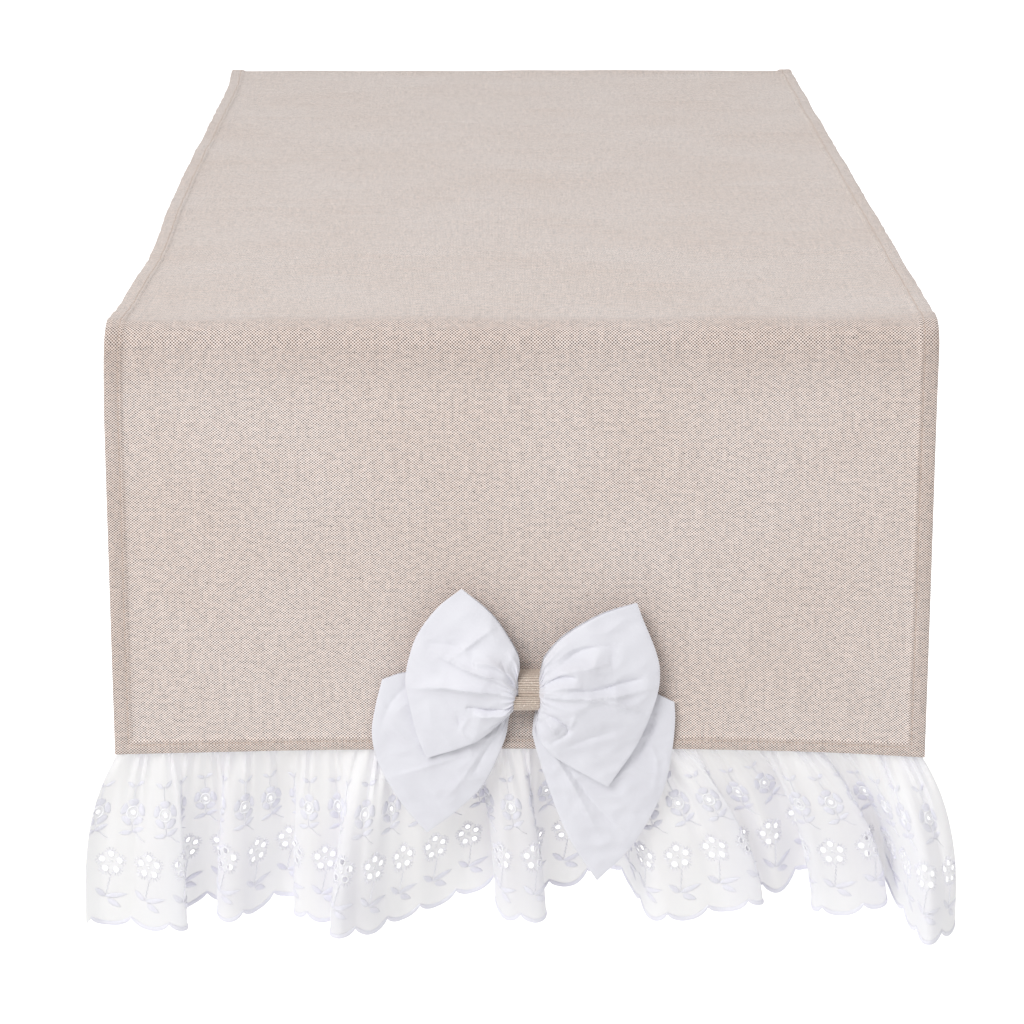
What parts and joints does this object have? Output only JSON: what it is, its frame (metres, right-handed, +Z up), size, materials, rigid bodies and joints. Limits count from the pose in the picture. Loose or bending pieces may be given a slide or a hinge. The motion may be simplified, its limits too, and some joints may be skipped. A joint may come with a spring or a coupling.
{
  "type": "table runner",
  "caption": "Hemmed linen-look table runner, hanging at both ends with gathered eyelet-lace ruffles and double bows.",
  "frame": {"origin": "middle of the underside of the part that lies on the table, so z = 0 is the table's top", "axes": "+X across the runner, +Y along it towards the back end, +Z up; the front end with its bow faces -Y"},
  "size_m": [0.489, 0.991, 0.3565],
  "materials": {
    "linen": "matt basket weave, undyed linen and cotton",
    "lace": "matt white cotton eyelet lace",
    "bow_cotton": "crisp white cotton, slight sheen",
    "ribbon": "ribbed ribbon with a fine glitter thread",
    "thread": "cream sewing thread"
  },
  "bodies": {
    "runner_top": {"linen_top": "linen", "side_stitch_top_left": "thread", "side_stitch_top_right": "thread", "linen_bend_front": "linen", "side_stitch_bend_front_left": "thread", "side_stitch_bend_front_right": "thread", "linen_bend_back": "linen", "side_stitch_bend_back_left": "thread", "side_stitch_bend_back_right": "thread"},
    "front_drop": {"linen_drop_front": "linen", "side_stitch_drop_front_left": "thread", "side_stitch_drop_front_right": "thread", "end_stitch_front": "thread", "ruffle_front": "lace", "gathering_thread_front": "thread", "bow_rear_cloth_front": "bow_cotton", "bow_front_cloth_front": "bow_cotton", "waist_ribbon_front": "ribbon", "tack_stitch_front_upper": "thread", "tack_stitch_front_lower": "thread"},
    "back_drop": {"linen_drop_back": "linen", "side_stitch_drop_back_left": "thread", "side_stitch_drop_back_right": "thread", "end_stitch_back": "thread", "ruffle_back": "lace", "gathering_thread_back": "thread", "bow_rear_cloth_back": "bow_cotton", "bow_front_cloth_back": "bow_cotton", "waist_ribbon_back": "ribbon", "tack_stitch_back_upper": "thread", "tack_stitch_back_lower": "thread"}
  },
  "joints": [
    {"name": "front_drop_lift", "type": "hinge", "parent": "runner_top", "child": "front_drop", "pos_m": [0, -0.47545, -0.00205], "axis": [-1, 0, 0], "range_deg": [0, 90], "deforming": ["linen_bend_front", "side_stitch_bend_front_left", "side_stitch_bend_front_right"]},
    {"name": "back_drop_lift", "type": "hinge", "parent": "runner_top", "child": "back_drop", "pos_m": [0, 0.47545, -0.00205], "axis": [1, 0, 0], "range_deg": [0, 90], "deforming": ["linen_bend_back", "side_stitch_bend_back_left", "side_stitch_bend_back_right"]}
  ]
}
